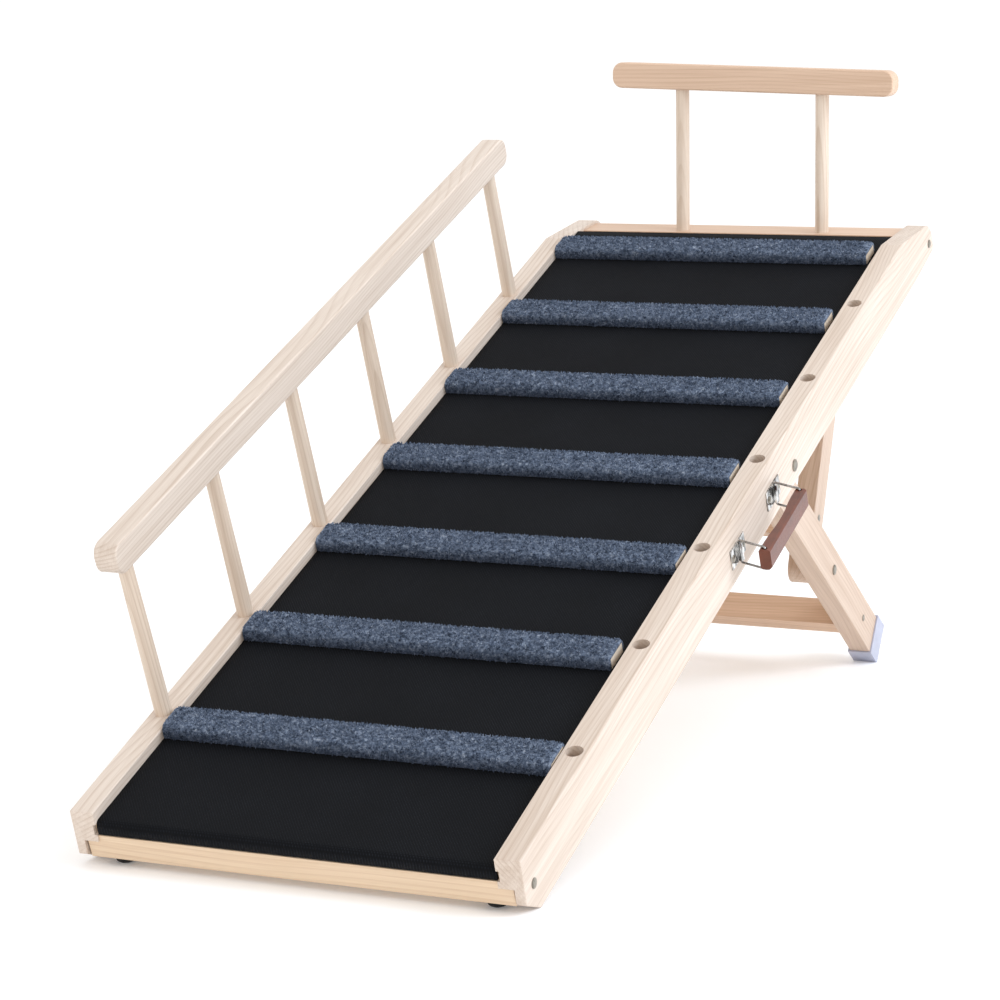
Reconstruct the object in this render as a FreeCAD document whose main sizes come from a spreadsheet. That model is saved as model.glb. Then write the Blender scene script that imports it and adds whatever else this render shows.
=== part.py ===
import FreeCAD, Part
import math
import os

import Sketcher

# Folding dog ramp: two grooved side rails carry a carpeted plywood deck, a left handrail
# on six turned posts, a rear handrail on two posts, a folding leg frame with a notched
# brace, and a swinging carrying handle. Millimetres, +Z up, floor at Z = 0, the ramp
# climbs along +Y. Deck parts are drawn square to the deck, in x, u (up the slope) and
# w (square to the deck, 0 at the rails' top), and tilted by the pitch.

Vector = FreeCAD.Vector
doc = FreeCAD.newDocument("dog_ramp")
sheet = doc.addObject("Spreadsheet::Sheet", "Sizes")


class Size:
    """A length or angle that knows its value and its spreadsheet formula."""

    def __init__(self, value, text=None):
        self.value = float(value)
        self.text = text if text else "%.6g" % value

    def __add__(self, other):
        other = as_size(other)
        return Size(self.value + other.value, "(%s + %s)" % (self.text, other.text))

    def __sub__(self, other):
        other = as_size(other)
        return Size(self.value - other.value, "(%s - %s)" % (self.text, other.text))

    def __mul__(self, other):
        other = as_size(other)
        return Size(self.value * other.value, "(%s * %s)" % (self.text, other.text))

    def __truediv__(self, other):
        other = as_size(other)
        return Size(self.value / other.value, "(%s / %s)" % (self.text, other.text))

    def __neg__(self):
        return Size(-self.value, "(0 - %s)" % self.text)

    __radd__ = __add__
    __rmul__ = __mul__


def as_size(value):
    return value if isinstance(value, Size) else Size(value)


sheet_row = [0]


def size(name, value):
    """Write one driving dimension to the spreadsheet and return it."""
    sheet_row[0] += 1
    sheet.set("A%d" % sheet_row[0], name)
    sheet.set("B%d" % sheet_row[0], str(value))
    sheet.setAlias("B%d" % sheet_row[0], name)
    return Size(value, "Sizes." + name)


# ---- driving dimensions -------------------------------------------------------------
pitch = size("pitch", 21.8)
half_width = size("half_width", 200)
rail_thick = size("rail_thick", 22)
rail_high = size("rail_high", 59)
rail_straight = size("rail_straight", 1060)
rail_long = size("rail_long", 1166)
bevel_drop = size("bevel_drop", 24.9)
groove_deep = size("groove_deep", 2.4)
panel_top = size("panel_top", 12)
panel_thick = size("panel_thick", 9)
mat_thick = size("mat_thick", 3)
mat_end = size("mat_end", 1097)
batten_wide = size("batten_wide", 26)
batten_high = size("batten_high", 9)
carpet_thick = size("carpet_thick", 2.8)
tread_first = size("tread_first", 136.2)
tread_step = size("tread_step", 151.6)
tread_left = size("tread_left", 177.6)
tread_rights = []
for number, reach in enumerate((177, 171, 175, 174, 173, 171.5, 170)):
    tread_rights.append(size("tread_right_%d" % (number + 1), reach))
post_first = size("post_first", 144.3)
post_step = size("post_step", 156.5)
post_inset = size("post_inset", 11.3)
post_radius = size("post_radius", 7.5)
post_tip = size("post_tip", 6.75)
post_tall = size("post_tall", 149.5)
hole_deep = size("hole_deep", 32)
hole_ease = size("hole_ease", 0.06)
handrail_high = size("handrail_high", 28)
handrail_front = size("handrail_front", 120)
handrail_rear = size("handrail_rear", 958)
handrail_round = size("handrail_round", 11)
handrail_drop = size("handrail_drop", 11.5)
front_bar_top = size("front_bar_top", 22)
front_bar_low = size("front_bar_low", 44)
front_bar_deep = size("front_bar_deep", 46)
tongue_top = size("tongue_top", 27)
tongue_reach = size("tongue_reach", 189.6)
notch_reach = size("notch_reach", 191.4)
rear_bar_front = size("rear_bar_front", 1112.6)
rear_bar_deep = size("rear_bar_deep", 48.4)
rear_bar_low = size("rear_bar_low", 54)
rear_bar_sink = size("rear_bar_sink", 3.4)
rear_post_u = size("rear_post_u", 1126)
rear_post_x = size("rear_post_x", 79)
rear_post_shift = size("rear_post_shift", 12.6)
rear_post_radius = size("rear_post_radius", 7.2)
rear_post_tall = size("rear_post_tall", 148)
rear_rail_half = size("rear_rail_half", 158)
rear_rail_shift = size("rear_rail_shift", 1.6)
rear_rail_fall = size("rear_rail_fall", 5.5)
rear_rail_high = size("rear_rail_high", 27.5)
rear_rail_thick = size("rear_rail_thick", 22)
pad_radius = size("pad_radius", 10)
pad_x = size("pad_x", 167)
pad_low = size("pad_low", 54)
leg_pivot_u = size("leg_pivot_u", 675.5)
leg_pivot_w = size("leg_pivot_w", 41.7)
leg_slope = size("leg_slope", 34.6)
leg_outer = size("leg_outer", 176)
leg_thick = size("leg_thick", 22)
leg_wide = size("leg_wide", 40)
leg_wood_end = size("leg_wood_end", 421)
brace_pivot = size("brace_pivot", 239)
leg_bar_at = size("leg_bar_at", 359)
leg_bar_deep = size("leg_bar_deep", 22)
leg_bar_high = size("leg_bar_high", 28)
cap_start = size("cap_start", 401)
cap_end = size("cap_end", 427.65)
cap_wall = size("cap_wall", 1.7)
brace_slope = size("brace_slope", 69)
brace_outer = size("brace_outer", 153.5)
brace_wide = size("brace_wide", 30)
brace_reach = size("brace_reach", 250)
brace_bar_at = size("brace_bar_at", 52)
brace_bar_wide = size("brace_bar_wide", 40)
brace_bar_thick = size("brace_bar_thick", 20)
rod_radius = size("rod_radius", 6)
rack_outer = size("rack_outer", 128)
rack_thick = size("rack_thick", 22)
notch_rise = size("notch_rise", 8.9)
ring_front_u = size("ring_front_u", 508)
ring_space = size("ring_space", 103)
ring_w = size("ring_w", 34)
ring_out = size("ring_out", 203)
ring_reach = size("ring_reach", 29)
ring_half = size("ring_half", 11.6)
ring_bend = size("ring_bend", 2)
wire_radius = size("wire_radius", 1.1)
ring_swing = size("ring_swing", 18)
grip_long = size("grip_long", 108.4)
grip_thick = size("grip_thick", 11)
grip_high = size("grip_high", 20.6)
pin_clear = size("pin_clear", 0.1)

doc.recompute()

TILT = math.radians(pitch.value)
TOE_U = -3.4
TOE_W = -40.4
FLOOR_SHIFT = 8.84
# half the overall width difference made by the handle, and half the overall length
CENTRE_X = 16.94
CENTRE_Y = 539.01


def deck_to_ground(x, u, w):
    """Ground position of a point given square to the deck."""
    du = u - TOE_U
    dw = w - TOE_W
    y = du * math.cos(TILT) - dw * math.sin(TILT)
    z = du * math.sin(TILT) + dw * math.cos(TILT)
    return Vector(x - CENTRE_X, y - CENTRE_Y, z + FLOOR_SHIFT)


def about_x(degrees):
    return FreeCAD.Rotation(Vector(1, 0, 0), degrees)


deck_frame = FreeCAD.Placement(deck_to_ground(0, 0, 0), about_x(pitch.value))
leg_base = deck_to_ground(0, leg_pivot_u.value, -leg_pivot_w.value)
leg_frame = FreeCAD.Placement(leg_base, about_x(-leg_slope.value))
brace_base = leg_frame.multVec(Vector(0, brace_pivot.value, 0))
brace_frame = FreeCAD.Placement(brace_base, about_x(brace_slope.value))
BEVEL_GRADE = bevel_drop.value / (rail_long.value - rail_straight.value)
rear_post_w = -(rear_post_u.value - rail_straight.value) * BEVEL_GRADE - rear_bar_sink.value
rear_base = deck_to_ground(rear_post_shift.value, rear_post_u.value, rear_post_w)
rear_frame = FreeCAD.Placement(rear_base, FreeCAD.Rotation())


def deck_place(x, u, w, turn=0.0):
    """Placement at a deck point, turned about the deck normal."""
    spin = FreeCAD.Rotation(Vector(0, 0, 1), turn)
    return deck_frame.multiply(FreeCAD.Placement(Vector(x, u, w), spin))


# ---- modelling helpers ----------------------------------------------------------------
finished = []


def new_body(name, frame):
    body = doc.addObject("PartDesign::Body", name)
    body.Label = name
    body.Placement = frame
    return body


def plane_of(body, role):
    return [item for item in body.Origin.OriginFeatures if item.Role == role][0]


def bind(sketch, index, value):
    if value.text.startswith(("Sizes", "(")):
        sketch.setExpression("Constraints[%d]" % index, value.text)


def new_sketch(body, name, plane, start, tilt=0.0):
    """Sketch on an origin plane, moved along the plane's positive axis by start."""
    sketch = body.newObject("Sketcher::SketchObject", name)
    sketch.AttachmentSupport = [(plane_of(body, plane), "")]
    sketch.MapMode = "FlatFace"
    start = as_size(start)
    sign = -1 if plane == "XZ_Plane" else 1
    sketch.AttachmentOffset = FreeCAD.Placement(Vector(0, 0, sign * start.value), about_x(tilt))
    sketch.setExpression("AttachmentOffset.Base.z", (start * sign).text)
    return sketch


def draw_outline(sketch, points):
    """Closed polygon whose corners are all tied to the spreadsheet."""
    corners = [(as_size(a), as_size(b)) for a, b in points]
    first = sketch.GeometryCount
    count = len(corners)
    for number in range(count):
        a = corners[number]
        b = corners[(number + 1) % count]
        start = Vector(a[0].value, a[1].value, 0)
        end = Vector(b[0].value, b[1].value, 0)
        sketch.addGeometry(Part.LineSegment(start, end))
    for number in range(count):
        following = first + (number + 1) % count
        sketch.addConstraint(Sketcher.Constraint("Coincident", first + number, 2, following, 1))
    for number, (across, up) in enumerate(corners):
        line = first + number
        bind(sketch, sketch.addConstraint(
            Sketcher.Constraint("DistanceX", line, 1, across.value)), across)
        bind(sketch, sketch.addConstraint(
            Sketcher.Constraint("DistanceY", line, 1, up.value)), up)


def draw_circle(sketch, across, up, radius):
    across = as_size(across)
    up = as_size(up)
    radius = as_size(radius)
    centre = Vector(across.value, up.value, 0)
    index = sketch.addGeometry(Part.Circle(centre, Vector(0, 0, 1), radius.value))
    bind(sketch, sketch.addConstraint(Sketcher.Constraint("Radius", index, radius.value)), radius)
    bind(sketch, sketch.addConstraint(
        Sketcher.Constraint("DistanceX", index, 3, across.value)), across)
    bind(sketch, sketch.addConstraint(Sketcher.Constraint("DistanceY", index, 3, up.value)), up)


def set_length(feature, length):
    length = as_size(length)
    feature.Length = length.value
    if length.text.startswith(("Sizes", "(")):
        feature.setExpression("Length", length.text)


def pad(body, plane, start, length, outline=None, circle=None):
    """Add material from start along the plane's positive axis."""
    sketch = new_sketch(body, "Outline", plane, start)
    if outline:
        draw_outline(sketch, outline)
    if circle:
        draw_circle(sketch, *circle)
    feature = body.newObject("PartDesign::Pad", "Pad")
    feature.Profile = sketch
    feature.Reversed = plane == "XZ_Plane"
    set_length(feature, length)
    body.Tip = feature
    doc.recompute()
    return feature


def pocket(body, plane, start, length, outlines=(), circles=()):
    """Remove material from start along the plane's positive axis."""
    sketch = new_sketch(body, "Cutout", plane, start)
    for outline in outlines:
        draw_outline(sketch, outline)
    for circle in circles:
        draw_circle(sketch, *circle)
    before = body.Tip.Shape.Volume
    feature = body.newObject("PartDesign::Pocket", "Pocket")
    feature.Profile = sketch
    feature.Reversed = plane != "XZ_Plane"
    set_length(feature, length)
    body.Tip = feature
    doc.recompute()
    if feature.Shape.Volume >= before - 0.01:
        raise RuntimeError("pocket removed nothing in " + body.Label)
    return feature


def repeat(body, feature, sketch_axis, step, count):
    """Repeat a pocket along one axis of its own sketch."""
    pattern = body.newObject("PartDesign::LinearPattern", "Row")
    pattern.Originals = [feature]
    pattern.Direction = (feature.Profile[0], [sketch_axis])
    pattern.Occurrences = count
    set_length(pattern, as_size(step) * (count - 1))
    body.Tip = pattern
    doc.recompute()


def soften(body, radius, chosen):
    """Round the edges of the body that the test picks."""
    tip = body.Tip
    names = []
    for number, edge in enumerate(tip.Shape.Edges):
        if chosen(edge):
            names.append("Edge%d" % (number + 1))
    if not names:
        raise RuntimeError("no edge to round in " + body.Label)
    fillet = body.newObject("PartDesign::Fillet", "Rounding")
    fillet.Base = (tip, names)
    fillet.Radius = radius
    body.Tip = fillet
    doc.recompute()
    if not fillet.isValid() or fillet.Shape.isNull():
        raise RuntimeError("rounding failed in " + body.Label)


def across_at(spots, reach=0.6):
    """Test for edges that run along x through one of the given y, z spots."""
    def chosen(edge):
        ends = [vertex.Point for vertex in edge.Vertexes]
        if len(ends) != 2 or abs(ends[0].x - ends[1].x) < 1:
            return False
        for y, z in spots:
            if all(math.hypot(end.y - y, end.z - z) < reach for end in ends):
                return True
        return False
    return chosen


def side_edges(x_values, least=12.0, w_above=-1000.0):
    """Test for long edges that lie in one of the given x planes."""
    def chosen(edge):
        ends = [vertex.Point for vertex in edge.Vertexes]
        if len(ends) != 2 or edge.Length < least:
            return False
        if min(end.z for end in ends) < w_above:
            return False
        return any(all(abs(end.x - x) < 0.01 for end in ends) for x in x_values)
    return chosen


def finish(item):
    finished.append(item)
    return item


def board(name, frame, plane, start, length, outline):
    body = new_body(name, frame)
    pad(body, plane, start, length, outline=outline)
    return body


def turned(name, frame, outline, along_x=False):
    """Solid of revolution about the body's z axis, or its x axis."""
    body = new_body(name, frame)
    sketch = new_sketch(body, "Profile", "XY_Plane" if along_x else "XZ_Plane", 0)
    draw_outline(sketch, outline)
    feature = body.newObject("PartDesign::Revolution", "Revolution")
    feature.Profile = sketch
    feature.ReferenceAxis = (sketch, ["H_Axis" if along_x else "V_Axis"])
    feature.Angle = 360
    body.Tip = feature
    doc.recompute()
    return body


def group(name, members):
    """One node of several separate solids."""
    compound = doc.addObject("Part::Compound", name)
    compound.Label = name
    compound.Links = members
    return finish(compound)


# ---- side rails ----------------------------------------------------------------------
RAIL_OUTLINE = [
    (0, 0),
    (rail_straight, 0),
    (rail_long, -bevel_drop),
    (rail_long, -rail_high + 3),
    (rail_straight + 40, -rail_high),
    (19.3, -rail_high),
    (-3, TOE_W),
]
GROOVE_OUTLINE = [
    (-10, -panel_top + 0.5),
    (mat_end + 2, -panel_top + 0.5),
    (mat_end + 2, -panel_top - panel_thick),
    (-10, -panel_top - panel_thick),
]
TONGUE_NOTCH = [
    (-10, -tongue_top),
    (front_bar_deep + 0.3, -tongue_top),
    (front_bar_deep + 0.3, -front_bar_low),
    (-10, -front_bar_low),
]
FRONT_SCREW = (15.0, -31.8)
REAR_SCREW = (1151.4, -43.2)
inner_face = half_width - rail_thick
SCREW_HOLE = 2.6
BOLT_RADIUS = 3.0
BOLT_EASE = 0.08


def side_rail(name, side):
    outer = half_width.value * side
    start = inner_face if side > 0 else -half_width
    body = board(name, deck_frame, "YZ_Plane", start, rail_thick, RAIL_OUTLINE)
    soften(body, 25.0, across_at([(rail_long.value, -bevel_drop.value)]))
    soften(body, 6.0, across_at([(rail_long.value, 3 - rail_high.value)]))
    soften(body, 1.2, side_edges([outer]))
    inner = inner_face.value * side
    soften(body, 1.2, side_edges([inner], w_above=-24.0))
    groove_start = inner_face if side > 0 else -inner_face - groove_deep
    pocket(body, "YZ_Plane", groove_start, groove_deep, [GROOVE_OUTLINE])
    notch_start = inner_face if side > 0 else -notch_reach
    pocket(body, "YZ_Plane", notch_start, notch_reach - inner_face, [TONGUE_NOTCH])
    hole_start = inner_face - 1 if side > 0 else -half_width - 1
    holes = [
        (FRONT_SCREW[0], FRONT_SCREW[1], SCREW_HOLE),
        (REAR_SCREW[0], REAR_SCREW[1], SCREW_HOLE),
        (leg_pivot_u, -leg_pivot_w, BOLT_RADIUS),
    ]
    pocket(body, "YZ_Plane", hole_start, rail_thick + 2, circles=holes)
    post_x = (half_width - post_inset) * side
    first = pocket(body, "XY_Plane", -hole_deep, hole_deep + 1,
                   circles=[(post_x, post_first, post_radius + hole_ease)])
    repeat(body, first, "V_Axis", post_step, 6)
    return finish(body)


left_rail = side_rail("left_side_rail", -1)
right_rail = side_rail("right_side_rail", 1)

# ---- deck panel, mat and treads --------------------------------------------------------
panel_half = inner_face + groove_deep - 0.1
panel_low = -panel_top - panel_thick
panel = board("deck_panel", deck_frame, "YZ_Plane", -panel_half, panel_half * 2, [
    (mat_thick, -panel_top), (mat_end, -panel_top), (mat_end, panel_low), (mat_thick, panel_low)])
finish(panel)

mat_half = inner_face - 0.3
mat_top = mat_thick - panel_top
mat = board("deck_mat", deck_frame, "YZ_Plane", -mat_half, mat_half * 2, [
    (0, mat_top), (mat_end, mat_top), (mat_end, -panel_top), (mat_thick, -panel_top),
    (mat_thick, panel_low), (0, panel_low)])
soften(mat, 2.6, across_at([(0, mat_top.value)]))
finish(mat)

for number, tread_right in enumerate(tread_rights):
    tread_length = tread_left + tread_right
    middle = tread_first + tread_step * number
    low = middle - batten_wide / 2
    high = middle + batten_wide / 2
    top = mat_top + batten_high
    batten = board("tread_batten_%d" % (number + 1), deck_frame, "YZ_Plane", -tread_left,
                   tread_length, [(low, mat_top), (high, mat_top), (high, top), (low, top)])
    finish(batten)
    over = top + carpet_thick
    carpet = board("tread_carpet_%d" % (number + 1), deck_frame, "YZ_Plane", -tread_left,
                   tread_length, [
                       (low - carpet_thick, mat_top), (low, mat_top), (low, top), (high, top),
                       (high, mat_top), (high + carpet_thick, mat_top),
                       (high + carpet_thick, over), (low - carpet_thick, over)])
    outer_low = low.value - carpet_thick.value
    outer_high = high.value + carpet_thick.value
    soften(carpet, 2.4, across_at([(outer_low, over.value), (outer_high, over.value)]))
    finish(carpet)

# ---- front and rear crossbars ----------------------------------------------------------
front_bar = board("front_crossbar", deck_frame, "YZ_Plane", -inner_face, inner_face * 2, [
    (0, -front_bar_top), (front_bar_deep, -front_bar_top),
    (front_bar_deep, -front_bar_low), (0, -front_bar_low)])
pad(front_bar, "YZ_Plane", -tongue_reach, tongue_reach * 2, [
    (0, -tongue_top), (front_bar_deep, -tongue_top),
    (front_bar_deep, -front_bar_low), (0, -front_bar_low)])
pocket(front_bar, "YZ_Plane", -tongue_reach - 1, tongue_reach * 2 + 2,
       circles=[(FRONT_SCREW[0], FRONT_SCREW[1], SCREW_HOLE)])
finish(front_bar)

bevel_grade = bevel_drop / (rail_long - rail_straight)
bar_rear = rear_bar_front + rear_bar_deep
bar_front_top = -(rear_bar_front - rail_straight) * bevel_grade - rear_bar_sink
bar_rear_top = -(bar_rear - rail_straight) * bevel_grade - rear_bar_sink
rear_bar = board("rear_crossbar", deck_frame, "YZ_Plane", -inner_face, inner_face * 2, [
    (rear_bar_front, bar_front_top), (bar_rear, bar_rear_top),
    (bar_rear, -rear_bar_low), (rear_bar_front, -rear_bar_low)])
soften(rear_bar, 18.0, across_at([(bar_rear.value, bar_rear_top.value)]))
pocket(rear_bar, "YZ_Plane", -inner_face - 1, inner_face * 2 + 2,
       circles=[(REAR_SCREW[0], REAR_SCREW[1], SCREW_HOLE)])
post_sketch = new_sketch(rear_bar, "PostHoles", "XY_Plane", rear_post_w, tilt=-pitch.value)
post_sketch.setExpression("AttachmentOffset.Base.y", rear_post_u.text)
for side in (-1, 1):
    draw_circle(post_sketch, rear_post_x * side + rear_post_shift, 0,
                rear_post_radius + hole_ease)
sockets = rear_bar.newObject("PartDesign::Pocket", "PostSockets")
sockets.Profile = post_sketch
sockets.Length = 18
sockets.Length2 = 12
sockets.SideType = "Two sides"
rear_bar.Tip = sockets
doc.recompute()
finish(rear_bar)

# ---- left handrail and its posts -----------------------------------------------------------
# The rail comes lower towards the rear, so the equal posts reach further into it there.
POST_TENON = 10.0
rail_top_w = post_tall + handrail_high
low_end_w = post_tall - handrail_drop
handrail = board("left_handrail", deck_frame, "YZ_Plane", -half_width + 0.3, rail_thick, [
    (handrail_front, post_tall), (handrail_rear, low_end_w),
    (handrail_rear, low_end_w + handrail_high), (handrail_front, rail_top_w)])
corner_spots = []
for end, low in ((handrail_front.value, post_tall.value), (handrail_rear.value, low_end_w.value)):
    corner_spots.append((end, low))
    corner_spots.append((end, low + handrail_high.value))
soften(handrail, handrail_round.value, across_at(corner_spots))
soften(handrail, 1.8, side_edges([0.3 - half_width.value, 0.3 - inner_face.value], 5.0))
post_line = -half_width + post_inset
socket = pocket(handrail, "XY_Plane", low_end_w - 1, handrail_drop + POST_TENON + 2,
                circles=[(post_line, post_first, post_tip + hole_ease)])
repeat(handrail, socket, "V_Axis", post_step, 6)
finish(handrail)

for number in range(6):
    along = post_first.value + post_step.value * number
    place = deck_place(post_line.value, along, 0)
    finish(turned("left_post_%d" % (number + 1), place, [
        (0, -hole_deep), (post_radius, -hole_deep), (post_radius, 0),
        (post_tip, low_end_w - 1),
        (post_tip, post_tall + POST_TENON), (0, post_tall + POST_TENON)]))

# ---- rear posts and handrail: upright, square to the floor ---------------------------------
REAR_TENON = 17.0
for name, side in (("rear_post_left", -1), ("rear_post_right", 1)):
    place = rear_frame.multiply(FreeCAD.Placement(Vector(side * rear_post_x.value, 0, 0),
                                                  FreeCAD.Rotation()))
    finish(turned(name, place, [
        (0, -REAR_TENON), (rear_post_radius, -REAR_TENON),
        (rear_post_radius, rear_post_tall + POST_TENON), (0, rear_post_tall + POST_TENON)]))
# The rail slopes a little across the ramp and sits a little to the right of its posts.
rail_left = rear_rail_shift - rear_rail_half
rail_right = rear_rail_shift + rear_rail_half
left_low = rear_post_tall + rear_rail_fall
right_low = rear_post_tall - rear_rail_fall
rear_handrail = board("rear_handrail", rear_frame, "XZ_Plane", -rear_rail_thick / 2,
                      rear_rail_thick, [
                          (rail_left, left_low), (rail_right, right_low),
                          (rail_right, right_low + rear_rail_high),
                          (rail_left, left_low + rear_rail_high)])


def end_corners(edge):
    ends = [vertex.Point for vertex in edge.Vertexes]
    same_x = abs(ends[0].x - ends[1].x) < 0.01
    same_z = abs(ends[0].z - ends[1].z) < 0.01
    off_middle = abs(ends[0].x - rear_rail_shift.value)
    return same_x and same_z and abs(off_middle - rear_rail_half.value) < 0.01


def long_faces(edge):
    ends = [vertex.Point for vertex in edge.Vertexes]
    flat = abs(ends[0].y - ends[1].y) < 0.01
    return flat and abs(abs(ends[0].y) - rear_rail_thick.value / 2) < 0.01 and edge.Length > 5


soften(rear_handrail, handrail_round.value, end_corners)
soften(rear_handrail, 1.8, long_faces)
pocket(rear_handrail, "XY_Plane", right_low - 1, rear_rail_fall + POST_TENON + 2, circles=[
    (-rear_post_x, 0, rear_post_radius + hole_ease),
    (rear_post_x, 0, rear_post_radius + hole_ease)])
finish(rear_handrail)

# ---- notched racks under the deck that hold the brace's rod ----------------------------------
rod_u = 977.7
rod_w = -57.4
RACK_FRONT = 936.0
RACK_REAR = 1097.0
RACK_STEP = 24.0
RACK_LOW = -rail_high


def rack_outline():
    points = [(RACK_FRONT, panel_low), (RACK_REAR, panel_low), (RACK_REAR, RACK_LOW)]
    points += [(1052, RACK_LOW), (1052, -26), (1017, -26), (1017, RACK_LOW)]
    apex = notch_rise + rod_w
    half = apex + rail_high
    for step in (1, 0, -1):
        middle = rod_u + RACK_STEP * step
        points.append((half + middle, RACK_LOW))
        points.append((middle, apex))
        points.append((-half + middle, RACK_LOW))
    points.append((RACK_FRONT, RACK_LOW))
    return points


finish(board("left_rack", deck_frame, "YZ_Plane", -rack_outer, rack_thick, rack_outline()))
finish(board("right_rack", deck_frame, "YZ_Plane", rack_outer - rack_thick, rack_thick,
             rack_outline()))

# ---- rubber pads under the front ----------------------------------------------------------
pads = []
for side in (-1, 1):
    place = deck_place(side * pad_x.value, 16.0, 0)
    pads.append(turned("pad", place, [
        (0, -front_bar_low), (pad_radius, -front_bar_low), (pad_radius, -pad_low + 1.5),
        (pad_radius - 1.5, -pad_low), (0, -pad_low)]))
group("front_rubber_pads", pads)


# ---- screws and bolts -----------------------------------------------------------------------
def screw(side, face, frame, head_radius, head_high, shank_radius, shank_long):
    """Flat domed head standing on the face at x, shank running inwards."""
    tip = face - shank_long
    return turned("screw", frame, [
        (tip * side, 0), (tip * side, shank_radius), (face * side, shank_radius),
        (face * side, head_radius), ((face + head_high * 0.5) * side, head_radius),
        ((face + head_high) * side, head_radius * 0.6), ((face + head_high) * side, 0)],
        along_x=True)


def frame_at(frame, y, z):
    return frame.multiply(FreeCAD.Placement(Vector(0, y, z), FreeCAD.Rotation()))


crossbar_screws = []
for side in (-1, 1):
    for spot in (FRONT_SCREW, REAR_SCREW):
        crossbar_screws.append(screw(side, half_width, frame_at(deck_frame, *spot),
                                     4.4, 1.4, SCREW_HOLE - 0.05, 60))
group("crossbar_screws", crossbar_screws)

SLEEVE_RADIUS = 7.0
SLEEVE_THICK = 2.5
rail_bolts = []
leg_inner = leg_outer - leg_thick
for side in (-1, 1):
    place = frame_at(deck_frame, leg_pivot_u.value, -leg_pivot_w.value)
    rail_bolts.append(turned("bolt", place, [
        (leg_inner * side, 0), (leg_inner * side, SLEEVE_RADIUS),
        ((leg_inner + SLEEVE_THICK) * side, SLEEVE_RADIUS),
        ((leg_inner + SLEEVE_THICK) * side, BOLT_RADIUS), (half_width * side, BOLT_RADIUS),
        (half_width * side, 5.8), ((half_width + 1.2) * side, 5.8),
        ((half_width + 2.2) * side, 3.6), ((half_width + 2.2) * side, 0)], along_x=True))
group("rail_pivot_bolts", rail_bolts)

# ---- leg frame: drawn along the leg, pivot at the origin ------------------------------------
leg_half = leg_wide / 2
LEG_SCREW = 2.0


def leg(name, side):
    start = leg_inner if side > 0 else -leg_outer
    body = board(name, leg_frame, "YZ_Plane", start, leg_thick, [
        (-leg_half, -leg_half), (leg_wood_end, -leg_half), (leg_wood_end, leg_half),
        (-leg_half, leg_half)])
    soften(body, 19.9, across_at([(-leg_half.value, leg_half.value),
                                  (-leg_half.value, -leg_half.value)]))
    soften(body, 1.0, side_edges([side * leg_outer.value, side * leg_inner.value], 30.0))
    through = leg_thick + 2
    pocket(body, "YZ_Plane", start - 1, through, circles=[
        (0, 0, BOLT_RADIUS + BOLT_EASE),
        (brace_pivot, 0, BOLT_RADIUS),
        (leg_bar_at, 0, LEG_SCREW)])
    sink_start = leg_inner if side > 0 else -leg_inner - SLEEVE_THICK - 0.2
    pocket(body, "YZ_Plane", sink_start, SLEEVE_THICK + 0.2,
           circles=[(0, 0, SLEEVE_RADIUS + 0.3)])
    return finish(body)


left_leg = leg("left_leg", -1)
right_leg = leg("right_leg", 1)
leg_bar = board("leg_crossbar", leg_frame, "YZ_Plane", -leg_inner, leg_inner * 2, [
    (leg_bar_at - leg_bar_deep / 2, -leg_bar_high / 2),
    (leg_bar_at + leg_bar_deep / 2, -leg_bar_high / 2),
    (leg_bar_at + leg_bar_deep / 2, leg_bar_high / 2),
    (leg_bar_at - leg_bar_deep / 2, leg_bar_high / 2)])
pocket(leg_bar, "YZ_Plane", -leg_inner - 1, leg_inner * 2 + 2,
       circles=[(leg_bar_at, 0, LEG_SCREW)])
finish(leg_bar)

FLAT_ALONG = 1.81
FLAT_UP = 1.25


def foot_cap(name, side):
    outer = leg_outer + cap_wall
    start = outer - leg_thick - cap_wall * 2 if side > 0 else -outer
    half = leg_half + cap_wall + 0.1
    body = board(name, leg_frame, "YZ_Plane", start, leg_thick + cap_wall * 2, [
        (cap_start, -half), (cap_end - FLAT_ALONG, -half), (cap_end, -half + FLAT_UP),
        (cap_end, half), (cap_start, half)])
    low_x = leg_inner - 0.05 if side > 0 else -leg_outer - 0.05
    high_x = leg_outer + 0.05 if side > 0 else -leg_inner + 0.05
    inside = leg_half + 0.05
    pocket(body, "XZ_Plane", cap_start - 1, leg_wood_end - cap_start + 1.1, [[
        (low_x, -inside), (high_x, -inside), (high_x, inside), (low_x, inside)]])
    return finish(body)


foot_cap("left_foot_cap", -1)
foot_cap("right_foot_cap", 1)

leg_screws = []
for side in (-1, 1):
    leg_screws.append(screw(side, leg_outer, frame_at(leg_frame, leg_bar_at.value, 0),
                            3.5, 0.9, LEG_SCREW - 0.05, 55))
group("leg_crossbar_screws", leg_screws)

brace_thick = size("brace_thick", 22)
doc.recompute()
brace_inner = brace_outer - brace_thick
brace_bolts = []
for side in (-1, 1):
    place = frame_at(leg_frame, brace_pivot.value, 0)
    brace_bolts.append(turned("bolt", place, [
        (brace_inner * side, 0), (brace_inner * side, SLEEVE_RADIUS),
        ((brace_inner + SLEEVE_THICK) * side, SLEEVE_RADIUS),
        ((brace_inner + SLEEVE_THICK) * side, BOLT_RADIUS), (leg_outer * side, BOLT_RADIUS),
        (leg_outer * side, 5.2), ((leg_outer + 0.8) * side, 5.2),
        ((leg_outer + 1.5) * side, 3.2), ((leg_outer + 1.5) * side, 0)], along_x=True))
group("brace_pivot_bolts", brace_bolts)

# ---- brace frame: drawn along the brace, pivot at the origin ---------------------------------
brace_half = brace_wide / 2


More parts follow.
